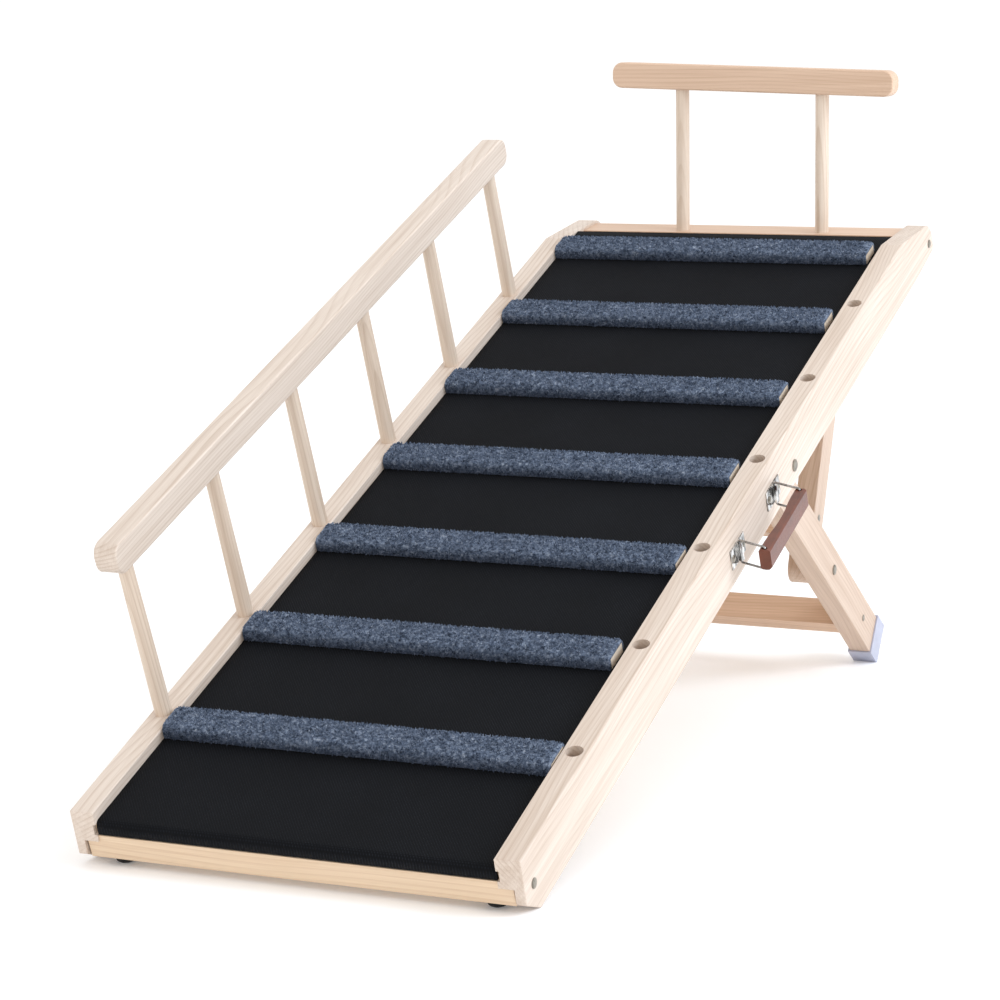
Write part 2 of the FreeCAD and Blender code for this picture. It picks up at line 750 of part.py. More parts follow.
def brace_bar(name, side):
    start = brace_inner if side > 0 else -brace_outer
    low = -brace_half
    high = brace_half + brace_reach
    body = board(name, brace_frame, "YZ_Plane", start, brace_thick, [
        (low, -brace_half), (high, -brace_half), (high, brace_half), (low, brace_half)])
    half = brace_half.value
    spots = [(low.value, half), (low.value, -half), (high.value, half), (high.value, -half)]
    soften(body, 14.9, across_at(spots))
    soften(body, 1.0, side_edges([side * brace_inner.value, side * brace_outer.value], 30.0))
    pocket(body, "YZ_Plane", start - 1, brace_thick + 2, circles=[
        (0, 0, BOLT_RADIUS + BOLT_EASE),
        (brace_bar_at, 0, LEG_SCREW),
        (brace_reach, 0, rod_radius)])
    sink_start = brace_inner if side > 0 else -brace_inner - SLEEVE_THICK - 0.2
    pocket(body, "YZ_Plane", sink_start, SLEEVE_THICK + 0.2,
           circles=[(0, 0, SLEEVE_RADIUS + 0.3)])
    return finish(body)


brace_bar("left_brace_bar", -1)
brace_bar("right_brace_bar", 1)
bar_half = brace_bar_wide / 2
bar_deep = brace_bar_thick / 2
brace_cross = board("brace_crossbar", brace_frame, "YZ_Plane", -brace_inner, brace_inner * 2, [
    (brace_bar_at - bar_half, -bar_deep), (brace_bar_at + bar_half, -bar_deep),
    (brace_bar_at + bar_half, bar_deep), (brace_bar_at - bar_half, bar_deep)])
pocket(brace_cross, "YZ_Plane", -brace_inner - 1, brace_inner * 2 + 2,
       circles=[(brace_bar_at, 0, LEG_SCREW)])
finish(brace_cross)
brace_screws = []
for side in (-1, 1):
    brace_screws.append(screw(side, brace_outer, frame_at(brace_frame, brace_bar_at.value, 0),
                              3.8, 0.4, LEG_SCREW - 0.05, 55))
group("brace_crossbar_screws", brace_screws)
rod = new_body("brace_top_rod", brace_frame)
rod_half = brace_outer - 0.2
pad(rod, "YZ_Plane", -rod_half, rod_half * 2, circle=(brace_reach, 0, rod_radius))
finish(rod)

# ---- carrying handle -------------------------------------------------------------------------
# Handle parts are drawn about the ring's pivot: x outwards, y up the slope, z square to
# the deck.
ring_x = ring_out - half_width
PLATE_THICK = 1.2
TUNNEL_RADIUS = 2.6
TUNNEL_HALF = 8.8
PLATE_HALF_LONG = 18.0
PLATE_HALF_HIGH = 9.5
FLANGE_SCREW = 12.5
rear_ring_u = ring_front_u + ring_space


def handle_place(along):
    return deck_place(ring_out.value, along, -ring_w.value)


def handle_bracket(name, along):
    body = board(name, handle_place(along), "XY_Plane", -PLATE_HALF_HIGH, 2 * PLATE_HALF_HIGH, [
        (-ring_x, -PLATE_HALF_LONG), (-ring_x + PLATE_THICK, -PLATE_HALF_LONG),
        (-ring_x + PLATE_THICK, PLATE_HALF_LONG), (-ring_x, PLATE_HALF_LONG)])
    pad(body, "XY_Plane", -TUNNEL_HALF, 2 * TUNNEL_HALF, [
        (-ring_x + 0.5, -TUNNEL_RADIUS), (1.3, -TUNNEL_RADIUS), (TUNNEL_RADIUS, -1.3),
        (TUNNEL_RADIUS, 1.3), (1.3, TUNNEL_RADIUS), (-ring_x + 0.5, TUNNEL_RADIUS)])
    pocket(body, "XY_Plane", -TUNNEL_HALF - 1, 2 * TUNNEL_HALF + 2,
           circles=[(0, 0, wire_radius + pin_clear)])
    return finish(body)


handle_bracket("handle_bracket_front", ring_front_u.value)
handle_bracket("handle_bracket_rear", rear_ring_u.value)
flange_screws = []
for along in (ring_front_u.value, rear_ring_u.value):
    for side in (-1, 1):
        place = handle_place(along + side * FLANGE_SCREW)
        face = -ring_x + PLATE_THICK
        flange_screws.append(turned("screw", place, [
            (face, 0), (face, 3.2), (face + 0.7, 3.0), (face + 1.4, 1.6), (face + 1.4, 0)],
            along_x=True))
group("handle_bracket_screws", flange_screws)


def handle_ring(name, along):
    """Closed wire loop with bent corners, swung by the rest angle."""
    swing = FreeCAD.Placement(Vector(0, 0, 0), FreeCAD.Rotation(Vector(0, 0, 1),
                                                               -ring_swing.value))
    frame = handle_place(along).multiply(swing)
    pieces = []
    straight = ring_half - ring_bend
    reach = ring_reach - ring_bend * 2

    def bar(x, z, rotation, length):
        item = doc.addObject("Part::Cylinder", "Wire")
        item.setExpression("Radius", wire_radius.text)
        item.setExpression("Height", as_size(length).text)
        local = FreeCAD.Placement(Vector(as_size(x).value, 0, as_size(z).value), rotation)
        item.Placement = frame.multiply(local)
        pieces.append(item)

    def bend(x, z, turn):
        item = doc.addObject("Part::Torus", "Bend")
        item.setExpression("Radius1", ring_bend.text)
        item.setExpression("Radius2", wire_radius.text)
        item.Angle3 = 90
        lie = FreeCAD.Rotation(Vector(1, 0, 0), 90)
        spin = FreeCAD.Rotation(Vector(0, 1, 0), -turn)
        local = FreeCAD.Placement(Vector(as_size(x).value, 0, as_size(z).value),
                                  spin.multiply(lie))
        item.Placement = frame.multiply(local)
        pieces.append(item)

    upright = FreeCAD.Rotation()
    outward = FreeCAD.Rotation(Vector(0, 1, 0), 90)
    bar(0, -straight, upright, straight * 2)
    bar(ring_reach, -straight, upright, straight * 2)
    bar(ring_bend, ring_half, outward, reach)
    bar(ring_bend, -ring_half, outward, reach)
    bend(ring_reach - ring_bend, straight, 0)
    bend(ring_bend, straight, 90)
    bend(ring_bend, -straight, 180)
    bend(ring_reach - ring_bend, -straight, 270)
    loop = doc.addObject("Part::MultiFuse", name)
    loop.Label = name
    loop.Shapes = pieces
    return finish(loop)


handle_ring("handle_ring_front", ring_front_u.value)
handle_ring("handle_ring_rear", rear_ring_u.value)

lean = math.radians(ring_swing.value)
grip_u = ring_front_u.value - ring_reach.value * math.sin(lean)
grip_x = ring_out.value + ring_reach.value * math.cos(lean)
grip_place = deck_place(grip_x, grip_u, -ring_w.value)
END_SPARE = (grip_long - ring_space) / 2
GRIP_BEVEL = 3.0
GRIP_EASE = 1.6
grip_half = grip_thick / 2
grip_up = grip_high / 2
grip = board("handle_grip", grip_place, "XZ_Plane", -END_SPARE, grip_long, [
    (-grip_half, -grip_up + GRIP_EASE), (-grip_half + GRIP_EASE, -grip_up),
    (grip_half - GRIP_BEVEL, -grip_up), (grip_half, -grip_up + GRIP_BEVEL),
    (grip_half, grip_up - GRIP_EASE), (grip_half - GRIP_EASE, grip_up),
    (-grip_half + GRIP_EASE, grip_up), (-grip_half, grip_up - GRIP_EASE)])
# finger hollow along the face towards the ramp
HOLLOW_DEEP = 3.4
HOLLOW_START = 10.0
hollow_long = ring_space - 2 * HOLLOW_START
hollow = [(-grip_half - 1, as_size(HOLLOW_START))]
HOLLOW_STEPS = 12
for number in range(HOLLOW_STEPS + 1):
    share = number / HOLLOW_STEPS
    depth = HOLLOW_DEEP * math.sin(math.pi * share)
    hollow.append((-grip_half + depth, hollow_long * share + HOLLOW_START))
hollow.append((-grip_half - 1, hollow_long + HOLLOW_START))
pocket(grip, "XY_Plane", -grip_up - 1, grip_high + 2, [hollow])
pin_holes = [(0, along, wire_radius + pin_clear) for along in (0, ring_space)]
pocket(grip, "XY_Plane", -grip_up - 1, grip_high + 2, circles=pin_holes)
RECESS_RADIUS = 2.1
RECESS_DEEP = 1.4
recesses = [(0, along, RECESS_RADIUS) for along in (0, ring_space)]
pocket(grip, "XY_Plane", grip_up - RECESS_DEEP, RECESS_DEEP + 1, circles=recesses)
pocket(grip, "XY_Plane", -grip_up - 1, RECESS_DEEP + 1, circles=recesses)
finish(grip)

# ---- checks and export ------------------------------------------------------------------------
doc.recompute()
os.makedirs("parts", exist_ok=True)
overall = FreeCAD.BoundBox()
for item in doc.Objects:
    if "Invalid" in item.State or "Error" in item.State:
        raise RuntimeError("%s is not valid" % item.Label)
for item in finished:
    if item.Shape.isNull() or not item.Shape.isValid():
        raise RuntimeError("%s has no valid shape" % item.Label)
    overall.add(item.Shape.BoundBox)
    item.Shape.exportStep(os.path.join("parts", item.Label + ".step"))
print("nodes", len(finished))
print("overall", overall)
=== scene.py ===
import math
import random

import bmesh
import bpy
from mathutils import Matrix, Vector, noise


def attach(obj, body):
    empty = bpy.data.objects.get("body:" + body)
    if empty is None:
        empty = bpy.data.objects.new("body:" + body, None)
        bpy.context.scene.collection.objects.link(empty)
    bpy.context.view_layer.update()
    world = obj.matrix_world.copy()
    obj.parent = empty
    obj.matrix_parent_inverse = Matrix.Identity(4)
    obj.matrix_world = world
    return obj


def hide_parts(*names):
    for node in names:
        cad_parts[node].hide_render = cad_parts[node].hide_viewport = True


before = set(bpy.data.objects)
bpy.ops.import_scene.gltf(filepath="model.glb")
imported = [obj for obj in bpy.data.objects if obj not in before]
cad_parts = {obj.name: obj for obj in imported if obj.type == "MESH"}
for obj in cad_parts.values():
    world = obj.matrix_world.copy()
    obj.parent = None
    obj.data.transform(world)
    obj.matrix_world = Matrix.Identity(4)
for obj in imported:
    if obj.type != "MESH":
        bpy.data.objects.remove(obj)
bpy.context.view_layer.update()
scene = bpy.context.scene

PITCH = 21.8
LEG_PITCH = -34.6
BRACE_PITCH = 69.0


def along_slope(degrees):
    """Direction in the side plane, at an angle above level."""
    return Vector((0.0, math.cos(math.radians(degrees)), math.sin(math.radians(degrees))))


# Sizes in metres. Deck coordinates are x, u (up the slope) and w (square to the deck).
DECK_ORIGIN = Vector((-0.01694, -0.550857, 0.047613))
ACROSS = Vector((1.0, 0.0, 0.0))
UPRIGHT = Vector((0.0, 0.0, 1.0))
UP_SLOPE = along_slope(PITCH)
DECK_NORMAL = ACROSS.cross(UP_SLOPE)
LEG_AXIS = along_slope(LEG_PITCH)
BRACE_AXIS = along_slope(BRACE_PITCH)
POSTS = 6
TREADS = 7
SKIN = 0.0001
PILE_HEIGHT = 0.012
PLY_PAIR = 0.0036
RIB_TURN = math.tau / 0.0026


def deck_point(x, u, w):
    """The place in the frame of a point given in deck coordinates."""
    return DECK_ORIGIN + ACROSS * x + UP_SLOPE * u + DECK_NORMAL * w


def deck_box(name):
    """Lowest and highest x, u and w of a CAD node, to a hundredth of a millimetre."""
    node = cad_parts[name]
    places = [node.matrix_world @ vertex.co - DECK_ORIGIN for vertex in node.data.vertices]
    spans = []
    for axis in (ACROSS, UP_SLOPE, DECK_NORMAL):
        reach = [place.dot(axis) for place in places]
        spans.append((round(min(reach), 5), round(max(reach), 5)))
    return spans


MAT_X, MAT_U, MAT_W = deck_box("deck_mat")
MAT_TOP = MAT_W[1]
PANEL_TOP = deck_box("deck_panel")[2][1]


# ---- shader helpers ---------------------------------------------------------------------
class Shader:
    """A node material with short calls for making and joining nodes."""

    def __init__(self, name):
        self.material = bpy.data.materials.new(name)
        self.material.use_nodes = True
        self.tree = self.material.node_tree
        self.surface = self.tree.nodes["Principled BSDF"]

    def node(self, kind, **settings):
        made = self.tree.nodes.new(kind)
        for key, value in settings.items():
            setattr(made, key, value)
        return made

    def join(self, source, target):
        self.tree.links.new(source, target)

    def feed(self, socket, value):
        if hasattr(value, "is_linked"):
            self.join(value, socket)
        else:
            socket.default_value = value

    def math(self, operation, a, b=0.0):
        made = self.node("ShaderNodeMath", operation=operation)
        self.feed(made.inputs[0], a)
        self.feed(made.inputs[1], b)
        return made.outputs[0]

    def dot(self, vector, direction):
        made = self.node("ShaderNodeVectorMath", operation="DOT_PRODUCT")
        self.feed(made.inputs[0], vector)
        made.inputs[1].default_value = direction
        return made.outputs["Value"]

    def combine(self, x, y, z):
        made = self.node("ShaderNodeCombineXYZ")
        for socket, value in zip(made.inputs, (x, y, z)):
            self.feed(socket, value)
        return made.outputs[0]

    def times(self, a, b):
        return self.math("MULTIPLY", a, b)

    def plus(self, a, b):
        return self.math("ADD", a, b)

    def vary(self, tone, pattern, amount):
        """Tone with a pattern of 0 to 1 added about its middle."""
        return self.plus(tone, self.times(self.math("SUBTRACT", pattern, 0.5), amount))

    def stretch(self, parts, scales):
        return self.combine(*(self.times(part, scale) for part, scale in zip(parts, scales)))

    def fix(self, values):
        for name, value in values.items():
            self.surface.inputs[name].default_value = value

    def noise(self, vector, scale, detail=2.0, rough=0.5):
        made = self.node("ShaderNodeTexNoise")
        self.feed(made.inputs["Vector"], vector)
        made.inputs["Scale"].default_value = scale
        made.inputs["Detail"].default_value = detail
        made.inputs["Roughness"].default_value = rough
        return made.outputs["Fac"]

    def ramp(self, value, stops):
        made = self.node("ShaderNodeValToRGB")
        self.feed(made.inputs[0], value)
        bar = made.color_ramp
        while len(bar.elements) < len(stops):
            bar.elements.new(0.5)
        for element, (place, colour) in zip(bar.elements, stops):
            element.position = place
            element.color = colour + (1.0,)
        return made.outputs[0]

    def mix(self, factor, a, b, blend="MIX"):
        made = self.node("ShaderNodeMix", data_type="RGBA", blend_type=blend)
        self.feed(made.inputs["Factor"], factor)
        self.feed(made.inputs["A"], a)
        self.feed(made.inputs["B"], b)
        return made.outputs["Result"]

    def bump(self, height, strength, distance):
        made = self.node("ShaderNodeBump")
        made.inputs["Strength"].default_value = strength
        made.inputs["Distance"].default_value = distance
        self.feed(made.inputs["Height"], height)
        self.join(made.outputs[0], self.surface.inputs["Normal"])

    def place(self):
        return self.node("ShaderNodeTexCoord").outputs["Object"]


def grey(value):
    return (value, value, value)


def grain_basis(axis):
    """Three square directions, the first along the grain."""
    side = ACROSS if abs(axis.dot(ACROSS)) < 0.9 else UPRIGHT
    third = axis.cross(side).normalized()
    side = third.cross(axis).normalized()
    return axis, side, third


def wood(name, axis, tones, heart=(0.03, -0.02), ring=3.3e-3, seed=0.0, figure=0.72):
    """Pale pine: annual rings about a heart line, fine fibres, streaks and a slow colour drift."""
    light, dark = tones
    middle = tuple((a + b) / 2 for a, b in zip(light, dark))
    s = Shader(name)
    place = s.place()
    along_dir, side_dir, third_dir = grain_basis(axis)
    chance = s.node("ShaderNodeObjectInfo").outputs["Random"]
    along = s.plus(s.dot(place, along_dir), s.times(chance, 3.7))
    side = s.plus(s.dot(place, side_dir), s.times(chance, 0.031))
    third = s.plus(s.dot(place, third_dir), s.times(chance, -0.023))
    board = (along, side, third)
    sway = s.noise(s.stretch(board, (1.6, 9.0, 9.0)), 1.0, 2.0, 0.5)
    sway_two = s.noise(s.combine(s.times(along, 2.3), seed, chance), 1.0, 1.0)
    off_side = s.plus(s.plus(side, s.times(sway, 0.050)), heart[0])
    off_third = s.plus(s.plus(third, s.times(sway_two, 0.060)), heart[1])
    radius = s.math("SQRT", s.plus(s.times(off_side, off_side), s.times(off_third, off_third)))
    rings = s.math("FRACT", s.math("DIVIDE", radius, ring))
    late = s.ramp(rings, [(0.0, grey(0.0)), (0.55, grey(0.08)), (0.84, grey(0.70)),
                          (0.93, grey(0.85)), (1.0, grey(0.0))])
    vivid = s.noise(s.stretch(board, (1.1, 22.0, 22.0)), 1.0, 1.0)
    late = s.times(late, s.ramp(vivid, [(0.35, grey(0.35)), (0.65, grey(1.0))]))
    fibre = s.noise(s.stretch(board, (14.0, 900.0, 900.0)), 1.0, 3.0, 0.65)
    streak = s.noise(s.stretch(board, (3.0, 160.0, 160.0)), 1.0, 2.0, 0.5)
    drift = s.noise(place, 5.0, 1.0, 0.5)
    tone = s.times(late, 0.62 * figure)
    for pattern, amount in ((fibre, 0.70), (streak, 0.75), (drift, 0.35), (chance, 0.12)):
        tone = s.vary(tone, pattern, amount)
    tone = s.plus(tone, 0.16)
    s.join(s.ramp(tone, [(0.0, light), (0.45, middle), (1.0, dark)]),
           s.surface.inputs["Base Color"])
    s.join(s.ramp(fibre, [(0.3, grey(0.48)), (0.7, grey(0.60))]), s.surface.inputs["Roughness"])
    s.fix({"Coat Weight": 0.22, "Coat Roughness": 0.38})
    s.bump(s.plus(s.times(late, 0.35), s.times(fibre, 0.65)), 0.30, 0.00025)
    return s.material


# Pale and deep colour of each batch of boards.
RAIL_PALE = ((0.715, 0.605, 0.515), (0.44, 0.31, 0.22))
CROSS_WARM = ((0.700, 0.490, 0.350), (0.44, 0.265, 0.155))
POST_PALE = ((0.760, 0.625, 0.505), (0.48, 0.33, 0.22))
LEG_WARM = ((0.600, 0.455, 0.355), (0.38, 0.240, 0.155))
BAR_WARM = ((0.800, 0.620, 0.440), (0.60, 0.405, 0.255))
BATTEN_RAW = ((0.740, 0.640, 0.520), (0.56, 0.41, 0.28))

rail_wood = wood("pine_up_slope", UP_SLOPE, RAIL_PALE, heart=(0.055, 0.01))
cross_wood = wood("pine_across", ACROSS, CROSS_WARM, heart=(0.02, 0.035), seed=3.0)
front_wood = wood("pine_front_bar", ACROSS, BAR_WARM, heart=(0.03, 0.045), seed=5.0)
post_wood = wood("pine_posts", DECK_NORMAL, POST_PALE, heart=(0.02, 0.01))
stick_wood = wood("pine_rear_posts", UPRIGHT, POST_PALE, heart=(0.02, 0.01))
leg_wood = wood("pine_legs", LEG_AXIS, LEG_WARM, heart=(0.05, 0.02), seed=7.0)
brace_wood = wood("pine_braces", BRACE_AXIS, LEG_WARM, heart=(0.04, 0.03), seed=9.0)
raw_wood = wood("batten_wood", ACROSS, BATTEN_RAW, seed=11.0)


def plywood():
    """Birch panel with its layers showing on the edges."""
    s = Shader("plywood_edges")
    place = s.place()
    plies = s.math("FRACT", s.math("DIVIDE", s.dot(place, DECK_NORMAL), PLY_PAIR))
    layer = s.ramp(plies, [(0.0, (0.62, 0.45, 0.28)), (0.48, (0.66, 0.49, 0.32)),
                           (0.52, (0.40, 0.25, 0.14)), (1.0, (0.44, 0.29, 0.17))])
    fibre = s.noise(s.combine(s.times(s.dot(place, ACROSS), 12.0),
                              s.times(s.dot(place, UP_SLOPE), 420.0), 0.0), 1.0, 3.0)
    veneer = s.ramp(fibre, [(0.3, (0.48, 0.33, 0.2)), (0.7, (0.72, 0.56, 0.38))])
    s.join(s.mix(0.35, layer, veneer), s.surface.inputs["Base Color"])
    s.fix({"Roughness": 0.7})
    s.bump(fibre, 0.25, 0.0002)
    return s.material


def mat_weave():
    """Black anti-slip sheet with a fine slanting weave."""
    s = Shader("deck_mat_weave")
    place = s.place()
    x = s.dot(place, ACROSS)
    slant = s.times(s.dot(place, UP_SLOPE), 0.75)
    one = s.math("SINE", s.times(s.plus(x, slant), RIB_TURN))
    two = s.math("SINE", s.times(s.math("SUBTRACT", x, slant), RIB_TURN))
    dots = s.plus(s.times(s.times(one, two), 0.6), s.times(one, 0.5))
    grit = s.noise(place, 900.0, 2.0, 0.6)
    cloud = s.noise(place, 14.0, 2.0, 0.5)
    tone = s.plus(s.plus(s.times(dots, 0.34), s.times(grit, 0.5)), s.times(cloud, 0.25))
    s.join(s.ramp(tone, [(0.05, (0.0003, 0.0004, 0.0008)), (0.45, (0.0018, 0.0023, 0.0040)),
                         (0.70, (0.0100, 0.0118, 0.0165)), (0.95, (0.0400, 0.0430, 0.0510))]),
           s.surface.inputs["Base Color"])
    s.fix({"Roughness": 0.85, "Specular IOR Level": 0.16})
    s.bump(s.plus(dots, s.times(grit, 0.6)), 0.5, 0.00035)
    return s.material


def carpet_pile():
    """Blue-grey cut pile: each tuft has its own tone, and painted shade darkens the pile near the
    mat.
    """
    s = Shader("carpet_cut_pile")
    place = s.place()
    tufts = s.node("ShaderNodeTexVoronoi", feature="F1")
    s.join(place, tufts.inputs["Vector"])
    tufts.inputs["Scale"].default_value = 560.0
    cell = s.node("ShaderNodeSeparateColor")
    s.join(tufts.outputs["Color"], cell.inputs["Color"])
    fibre = s.noise(place, 1900.0, 3.0, 0.7)
    patch = s.noise(place, 230.0, 3.0, 0.6)
    deck_height = s.math("SUBTRACT", s.dot(place, DECK_NORMAL), DECK_ORIGIN.dot(DECK_NORMAL))
    tone = s.plus(s.times(cell.outputs["Red"], 0.42), 0.26)
    tone = s.vary(s.vary(tone, fibre, 0.7), patch, 1.0)
    colour = s.ramp(tone, [(0.10, (0.018, 0.026, 0.046)), (0.40, (0.098, 0.130, 0.195)),
                           (0.68, (0.215, 0.262, 0.350)), (0.90, (0.480, 0.520, 0.590))])
    # Painted shade: the pile's colour is multiplied darker towards the mat, standing in for the
    # shade low in the pile.
    rise = s.math("DIVIDE", s.math("SUBTRACT", deck_height, MAT_TOP), PILE_HEIGHT)
    painted_shade_near_mat = s.ramp(rise, [(0.0, (0.36, 0.36, 0.40)), (0.95, grey(0.90))])
    s.join(s.mix(1.0, colour, painted_shade_near_mat, "MULTIPLY"), s.surface.inputs["Base Color"])
    s.fix({"Roughness": 0.95, "Specular IOR Level": 0.12, "Sheen Weight": 0.18,
           "Sheen Roughness": 0.5, "Sheen Tint": (0.70, 0.78, 0.92, 1.0)})
    s.bump(fibre, 0.5, 0.0006)
    return s.material


def steel(name, colour, rough, contrast=0.14):
    """Plated metal: contrast is how dark its streaks of tarnish are."""
    s = Shader(name)
    place = s.place()
    brush = s.noise(place, 1400.0, 2.0, 0.6)
    deck_parts = (s.dot(place, ACROSS), s.dot(place, UP_SLOPE), s.dot(place, DECK_NORMAL))
    streak = s.noise(s.stretch(deck_parts, (240.0, 330.0, 60.0)), 1.0, 2.0, 0.6)
    low = tuple(value * (1.0 - contrast) for value in colour)
    s.join(s.ramp(streak, [(0.40, low), (0.58, colour)]), s.surface.inputs["Base Color"])
    s.join(s.ramp(brush, [(0.3, grey(rough * 0.8)), (0.7, grey(rough * 1.25))]),
           s.surface.inputs["Roughness"])
    s.fix({"Metallic": 1.0})
    s.bump(s.plus(brush, s.times(streak, 2.0)), 0.10, 0.0001)
    return s.material


def plastic(name, colour, rough, speckle, clear=0.0, scatter=0.0):
    """Moulded plastic or rubber with a fine grain and a slow drift of tone."""
    s = Shader(name)
    place = s.place()
    grain = s.noise(place, 700.0, 3.0, 0.6)
    cloud = s.noise(place, 60.0, 2.0, 0.5)
    low = tuple(value * (1.0 - speckle) for value in colour)
    s.join(s.ramp(cloud, [(0.3, low), (0.7, colour)]), s.surface.inputs["Base Color"])
    s.join(s.ramp(grain, [(0.3, grey(rough * 0.85)), (0.7, grey(rough * 1.2))]),
           s.surface.inputs["Roughness"])
    s.fix({"Coat Weight": clear, "Coat Roughness": 0.12, "Subsurface Weight": scatter,
           "Subsurface Radius": (0.004, 0.004, 0.005), "Subsurface Scale": 1.0})
    s.bump(grain, 0.12, 0.0002)
    return s.material


chrome = steel("bracket_chrome", (0.80, 0.79, 0.77), 0.16, contrast=0.88)
wire_steel = steel("ring_wire", (0.42, 0.41, 0.40), 0.25, contrast=0.4)
zinc = steel("bright_steel", (0.62, 0.61, 0.59), 0.26)
screw_steel = steel("screw_steel", (0.36, 0.33, 0.28), 0.36, contrast=0.35)
brown = plastic("brown_grip", (0.150, 0.032, 0.010), 0.38, 0.35, clear=0.25)
cap_plastic = plastic("lavender_cap", (0.45, 0.46, 0.56), 0.42, 0.12, scatter=0.3)
rubber = plastic("black_rubber", (0.012, 0.012, 0.013), 0.72, 0.2)
ply = plywood()
mat_material = mat_weave()
pile = carpet_pile()

# ---- materials on the CAD nodes ------------------------------------------------------------
finishes = {
    "left_side_rail": rail_wood, "right_side_rail": rail_wood, "left_handrail": rail_wood,
    "front_crossbar": front_wood, "rear_crossbar": cross_wood, "rear_handrail": cross_wood,
    "rear_post_left": stick_wood, "rear_post_right": stick_wood,
    "deck_panel": ply, "left_rack": ply, "right_rack": ply,
    "left_leg": leg_wood, "right_leg": leg_wood, "leg_crossbar": cross_wood,
    "left_brace_bar": brace_wood, "right_brace_bar": brace_wood, "brace_crossbar": cross_wood,
    "left_foot_cap": cap_plastic, "right_foot_cap": cap_plastic,
    "front_rubber_pads": rubber, "brace_top_rod": zinc,
    "handle_bracket_front": chrome, "handle_bracket_rear": chrome,
    "handle_bracket_screws": screw_steel,
    "handle_ring_front": wire_steel, "handle_ring_rear": wire_steel, "handle_grip": brown,
    "crossbar_screws": screw_steel, "rail_pivot_bolts": screw_steel,
    "leg_crossbar_screws": screw_steel, "brace_pivot_bolts": screw_steel,
    "brace_crossbar_screws": screw_steel,
}
for number in range(1, POSTS + 1):
    finishes["left_post_%d" % number] = post_wood
for number in range(1, TREADS + 1):
    finishes["tread_batten_%d" % number] = raw_wood
for name, material in finishes.items():
    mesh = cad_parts[name].data
    mesh.materials.clear()
    mesh.materials.append(material)


# ---- mesh helpers ----------------------------------------------------------------------------
def new_piece(mesh, material):
    """An object for a finished mesh, on the ramp body."""
    piece = bpy.data.objects.new(mesh.name, mesh)
    scene.collection.objects.link(piece)
    mesh.materials.append(material)
    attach(piece, "ramp")
    return piece


def sweep_across(name, profile, xs, shape):
    """Smooth mesh of a closed profile of (u, w) points along x; shape moves each point."""
    bm = bmesh.new()
    rows = []
    for x in xs:
        rows.append([bm.verts.new(shape(x, u, w, index)) for index, (u, w) in enumerate(profile)])
    count = len(profile)
    for a, b in zip(rows, rows[1:]):
        for index in range(count):
            following = (index + 1) % count
            bm.faces.new((a[index], a[following], b[following], b[index]))
    bm.faces.new(rows[0][::-1])
    bm.faces.new(rows[-1])
    bmesh.ops.recalc_face_normals(bm, faces=bm.faces)
    bm.normal_update()
    mesh = bpy.data.meshes.new(name)
    bm.to_mesh(mesh)
    bm.free()
    for face in mesh.polygons:
        face.use_smooth = True
    return mesh


def resample(points, step):
    """Points at an even spacing along an open line."""
    out = [points[0]]
    for (a, b), (c, d) in zip(points, points[1:]):
        length = math.hypot(c - a, d - b)
        pieces = max(1, round(length / step))
        for part in range(1, pieces + 1):
            t = part / pieces
            out.append((a + (c - a) * t, b + (d - b) * t))
    return out


def arc(centre, radius, start, end, count):
    """Points along part of a circle, between two angles in degrees."""
    out = []
    for index in range(count + 1):
        angle = math.radians(start + (end - start) * index / count)
        out.append((centre[0] + radius * math.cos(angle), centre[1] + radius * math.sin(angle)))
    return out


# ---- deck mat ---------------------------------------------------------------------------------
MAT_THICK = MAT_TOP - PANEL_TOP - 2 * SKIN
MAT_END = MAT_U[1] - 2 * SKIN
MAT_FRONT_LOW = MAT_W[0] + SKIN
MAT_STEPS = 60
MAT_WAVE = 0.00025
HALF_INSIDE = MAT_X[1] - SKIN
NOSE = 0.0062
STILL_EDGE = 0.02


def build_mat():
    """The mat lies on the panel and turns down over its front edge."""
    nose = arc((NOSE, MAT_TOP - NOSE), NOSE, 90, 180, 10)
    outer = [(MAT_END, MAT_TOP)] + nose + [(0.0, MAT_FRONT_LOW)]
    inner_nose = arc((NOSE, MAT_TOP - NOSE), NOSE - MAT_THICK, 180, 90, 6)
    inner = [(MAT_THICK - SKIN, MAT_FRONT_LOW)] + inner_nose + [(MAT_END, MAT_TOP - MAT_THICK)]
    profile = resample(outer, 0.010) + resample(inner, 0.014)
    xs = [-HALF_INSIDE + 2 * HALF_INSIDE * step / MAT_STEPS for step in range(MAT_STEPS + 1)]

    def shape(x, u, w, _index):
        wave = noise.noise(Vector((x * 9.0, u * 6.0, 2.0))) * MAT_WAVE
        edge = min(1.0, (HALF_INSIDE - abs(x)) / STILL_EDGE)
        past_nose = 1.0 if u > STILL_EDGE else 0.0
        return deck_point(x, u, w + max(-SKIN, wave) * edge * past_nose)

    mesh = sweep_across("deck_mat_sheet", profile, xs, shape)
    piece = new_piece(mesh, mat_material)
    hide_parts("deck_mat")


build_mat()

# ---- carpet covers ----------------------------------------------------------------------------
COVER_TOP = 0.0034
COVER_STANDS_OUT = 0.0032
COVER_BEND = 0.0060
COVER_STEPS = 300
LUMP = 0.00035
SWELL = 0.00045
TUFTS = 8000
TUFT_LONG = 0.0032
TUFT_WIDE = 0.00052
TUFT_ROOT = 0.0004
TUFT_LEAN = 0.42
END_MARGIN = 0.0006
END_TAPER = 0.006


def cover_outline(half):
    """Outer line of a strip wrapped over a batten, about the batten's middle."""
    side = half + COVER_STANDS_OUT
    bend = side - COVER_BEND
    low = MAT_TOP + SKIN
    back = arc((bend, COVER_TOP - COVER_BEND), COVER_BEND, 0, 90, 8)
    front = arc((-bend, COVER_TOP - COVER_BEND), COVER_BEND, 90, 180, 8)
    return resample([(side, low)] + back + front + [(-side, low)], 0.0011)


